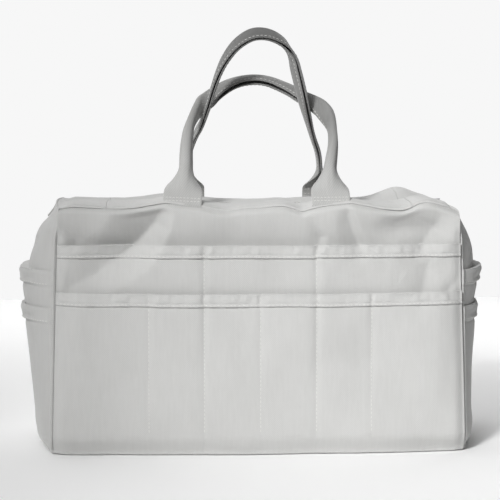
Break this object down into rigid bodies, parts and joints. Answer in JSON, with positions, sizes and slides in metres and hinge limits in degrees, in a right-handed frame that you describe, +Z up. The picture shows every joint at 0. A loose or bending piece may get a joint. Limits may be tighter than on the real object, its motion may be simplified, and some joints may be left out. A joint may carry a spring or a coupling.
{
  "type": "knitting bag",
  "caption": "Boxy canvas knitting bag with a zip top, tiers of open pockets on every side and folded webbing carrying handles.",
  "frame": {"origin": "on the floor, under the middle of the bag", "axes": "+X to the bag's right end seen from the front, -Y out of the front panel, +Z up"},
  "size_m": [0.4816, 0.2096, 0.4259],
  "materials": {
    "canvas": "matte woven",
    "webbing": "matte twill",
    "zip_tape": "matte woven",
    "zip_coil": "moulded",
    "zip_metal": "dull plated",
    "board": "matte sheet"
  },
  "bodies": {
    "bag": {"bottom_panel": "canvas", "base_board": "board", "front_panel": "canvas", "front_pocket_upper": "canvas", "front_pocket_lower": "canvas", "back_panel": "canvas", "back_pocket_upper": "canvas", "back_pocket_lower": "canvas", "end_panel_left": "canvas", "end_panel_right": "canvas", "end_pocket_upper_left": "canvas", "end_pocket_upper_right": "canvas", "end_pocket_lower_left": "canvas", "end_pocket_lower_right": "canvas", "zip_tab_left": "zip_tape", "zip_tab_right": "zip_tape", "top_end_left": "canvas", "top_end_right": "canvas", "zip_end_left": "zip_tape", "zip_end_right": "zip_tape", "zip_stop_left": "zip_metal", "zip_stop_right": "zip_metal", "front_handle_tab_left": "webbing", "front_handle_tab_right": "webbing", "back_handle_tab_left": "webbing", "back_handle_tab_right": "webbing"},
    "top_front": {"top_panel_front": "canvas", "zip_tape_front": "zip_tape", "zip_coil_front": "zip_coil"},
    "top_back": {"top_panel_back": "canvas", "zip_tape_back": "zip_tape", "zip_coil_back": "zip_coil"},
    "slider": {"zip_slider": "zip_metal"},
    "pull": {"zip_pull": "zip_metal"},
    "handle_front": {"front_handle": "webbing"},
    "handle_back": {"back_handle": "webbing"}
  },
  "joints": [
    {"name": "top_front_fold", "type": "hinge", "parent": "bag", "child": "top_front", "pos_m": [0, -0.0855, 0.2433], "axis": [-1, 0, 0], "range_deg": [0, 80]},
    {"name": "top_back_fold", "type": "hinge", "parent": "bag", "child": "top_back", "pos_m": [0, 0.0855, 0.2433], "axis": [1, 0, 0], "range_deg": [0, 80]},
    {"name": "zip_slide", "type": "slide", "parent": "bag", "child": "slider", "axis": [1, 0, 0], "range_m": [-0.33, 0]},
    {"name": "zip_pull_swing", "type": "hinge", "parent": "slider", "child": "pull", "pos_m": [0.165, 0, 0.2467], "axis": [0, -1, 0], "range_deg": [0, 180]},
    {"name": "front_handle_swing", "type": "hinge", "parent": "bag", "child": "handle_front", "pos_m": [0, -0.0916, 0.2459], "axis": [1, 0, 0], "range_deg": [0, 195]},
    {"name": "back_handle_swing", "type": "hinge", "parent": "bag", "child": "handle_back", "pos_m": [0, 0.0916, 0.2459], "axis": [-1, 0, 0], "range_deg": [0, 180]}
  ]
}
